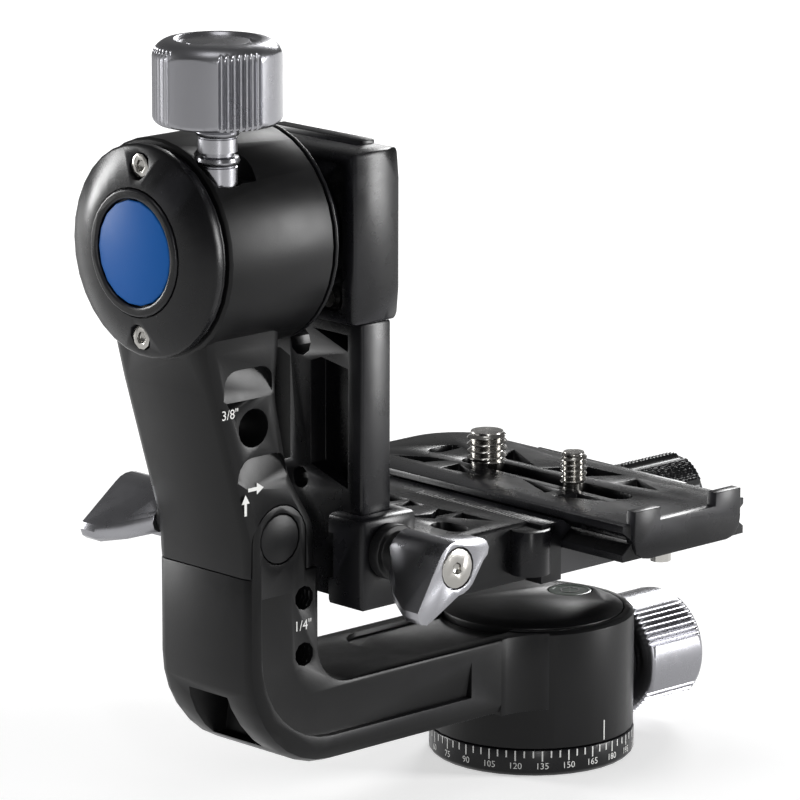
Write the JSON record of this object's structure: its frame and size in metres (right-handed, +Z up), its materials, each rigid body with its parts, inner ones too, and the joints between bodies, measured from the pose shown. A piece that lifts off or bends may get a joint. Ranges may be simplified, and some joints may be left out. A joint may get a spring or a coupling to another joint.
{
  "type": "gimbal tripod head",
  "caption": "Folding gimbal tripod head: panning base, folding upright arm, hanging tilt cradle with a height-set carriage, and a clamped camera plate.",
  "frame": {"origin": "centre of the pan base's bottom face, on the pan axis, where the tripod's screw enters", "axes": "+Z up along the pan axis; +X along the tilt axis, from the upright arm towards the pan base; -Y towards the end of the camera plate that carries the lip"},
  "size_m": [0.1709, 0.095, 0.1802],
  "materials": {
    "satin_black": "satin black paint on cast aluminium",
    "black_anodised": "fine bead-blasted black anodised aluminium",
    "silver_aluminium": "machined silver aluminium",
    "steel": "bright turned steel",
    "brass": "turned brass",
    "black_nylon": "black nylon",
    "badge_blue": "satin blue disc",
    "level_vial": "clear vial over yellow-green fluid"
  },
  "bodies": {
    "base": {"dial_ring": "black_anodised", "base_plate": "black_anodised", "tripod_bush": "steel", "pan_spindle": "steel", "pan_nut": "steel"},
    "arm": {"lower_arm": "satin_black", "pan_cap": "satin_black", "bubble_level": "level_vial", "pan_bearing": "steel", "fold_pin": "steel", "fold_pin_cover": "satin_black", "fold_collar": "black_nylon"},
    "pan_shoe": {"pan_brake_shoe": "brass"},
    "pan_knob": {"pan_lock_knob": "silver_aluminium", "pan_lock_screw": "steel", "pan_knob_collar": "black_nylon"},
    "fold_knob": {"fold_wing_knob": "silver_aluminium", "fold_wing_knob_hub_screw": "steel"},
    "upper": {"upper_arm": "satin_black", "barrel_groove_ring": "black_anodised", "barrel_rear_ring": "black_anodised", "tilt_front_cap": "black_anodised", "cap_screw_upper": "steel", "cap_screw_lower": "steel", "badge_ring": "black_anodised", "badge_disc": "badge_blue", "tilt_bearing_front": "steel", "tilt_spacer": "steel", "tilt_bearing_rear": "steel"},
    "tilt_cotter": {"tilt_brake_cotter": "brass"},
    "tilt_knob": {"tilt_lock_knob": "silver_aluminium", "tilt_lock_stem": "silver_aluminium"},
    "swing": {"tilt_spindle": "black_anodised", "tilt_nut": "steel", "cradle_block": "black_anodised", "hub_bolt": "steel", "hanging_rail": "black_anodised", "rail_screw_front": "steel", "rail_screw_back": "steel"},
    "carriage": {"carriage": "black_anodised"},
    "gib": {"rail_gib": "brass"},
    "wing_knob": {"carriage_wing_knob": "silver_aluminium", "carriage_wing_knob_hub_screw": "steel", "wing_screw": "steel", "wing_collar": "black_nylon"},
    "jaw": {"plate_jaw": "black_anodised"},
    "clamp_knob": {"plate_clamp_knob": "silver_aluminium", "plate_clamp_screw": "steel"},
    "plate": {"camera_plate": "black_anodised", "stop_pin_front": "steel", "stop_pin_back": "steel"},
    "big_stud_slide": {"stud_three_eighths_washer": "steel"},
    "big_stud": {"stud_three_eighths": "steel"},
    "small_stud_slide": {"stud_quarter_washer": "steel"},
    "small_stud": {"stud_quarter": "steel"}
  },
  "joints": [
    {"name": "pan", "type": "hinge", "parent": "base", "child": "arm", "pos_m": [0, 0, 0.02], "axis": [0, 0, 1], "continuous": true},
    {"name": "pan_lock", "type": "hinge", "parent": "arm", "child": "pan_knob", "pos_m": [0.034, 0, 0.0168], "axis": [1, 0, 0], "range_deg": [0, 108]},
    {"name": "pan_shoe_release", "type": "slide", "parent": "arm", "child": "pan_shoe", "axis": [1, 0, 0], "range_m": [0, 0.0003]},
    {"name": "fold_lock", "type": "hinge", "parent": "arm", "child": "fold_knob", "pos_m": [-0.0926, 0.026, 0.0691], "axis": [0, 1, 0], "range_deg": [0, 360]},
    {"name": "upright_lift", "type": "slide", "parent": "arm", "child": "upper", "axis": [0, 0, 1], "range_m": [0, 0.014]},
    {"name": "tilt", "type": "hinge", "parent": "upper", "child": "swing", "pos_m": [-0.1, 0, 0.1337], "axis": [1, 0, 0], "continuous": true},
    {"name": "tilt_lock", "type": "hinge", "parent": "upper", "child": "tilt_knob", "pos_m": [-0.1085, -0.0137, 0.165], "axis": [0, 0, 1], "range_deg": [0, 108]},
    {"name": "tilt_cotter_release", "type": "slide", "parent": "upper", "child": "tilt_cotter", "axis": [0, 0, 1], "range_m": [0, 0.0003]},
    {"name": "carriage_slide", "type": "slide", "parent": "swing", "child": "carriage", "axis": [0, 0, 1], "range_m": [0, 0.0425]},
    {"name": "carriage_lock", "type": "hinge", "parent": "carriage", "child": "wing_knob", "pos_m": [-0.0685, -0.037, 0.064], "axis": [0, -1, 0], "range_deg": [0, 108]},
    {"name": "gib_release", "type": "slide", "parent": "carriage", "child": "gib", "axis": [0, -1, 0], "range_m": [0, 0.0003]},
    {"name": "jaw_open", "type": "slide", "parent": "carriage", "child": "jaw", "axis": [1, 0, 0], "range_m": [0, 0.003]},
    {"name": "plate_lock", "type": "hinge", "parent": "jaw", "child": "clamp_knob", "pos_m": [0.039, 0, 0.053], "axis": [1, 0, 0], "range_deg": [0, 1080]},
    {"name": "plate_slide", "type": "slide", "parent": "carriage", "child": "plate", "axis": [0, 1, 0], "range_m": [-0.0088, 0.0098]},
    {"name": "big_stud_slide", "type": "slide", "parent": "plate", "child": "big_stud_slide", "axis": [0, 1, 0], "range_m": [-0.0155, 0.0035]},
    {"name": "big_stud_turn", "type": "hinge", "parent": "big_stud_slide", "child": "big_stud", "pos_m": [0, 0.015, 0.068], "axis": [0, 0, 1], "continuous": true},
    {"name": "small_stud_slide", "type": "slide", "parent": "plate", "child": "small_stud_slide", "axis": [0, 1, 0], "range_m": [-0.014, 0.0155]},
    {"name": "small_stud_turn", "type": "hinge", "parent": "small_stud_slide", "child": "small_stud", "pos_m": [0, -0.013, 0.068], "axis": [0, 0, 1], "continuous": true}
  ],
  "couplings": [
    {"joint": "pan_lock", "follows": "pan_shoe_release", "rad_per_m": 6283},
    {"joint": "tilt_lock", "follows": "tilt_cotter_release", "rad_per_m": 6283},
    {"joint": "carriage_lock", "follows": "gib_release", "rad_per_m": 6283},
    {"joint": "plate_lock", "follows": "jaw_open", "rad_per_m": 6283}
  ]
}
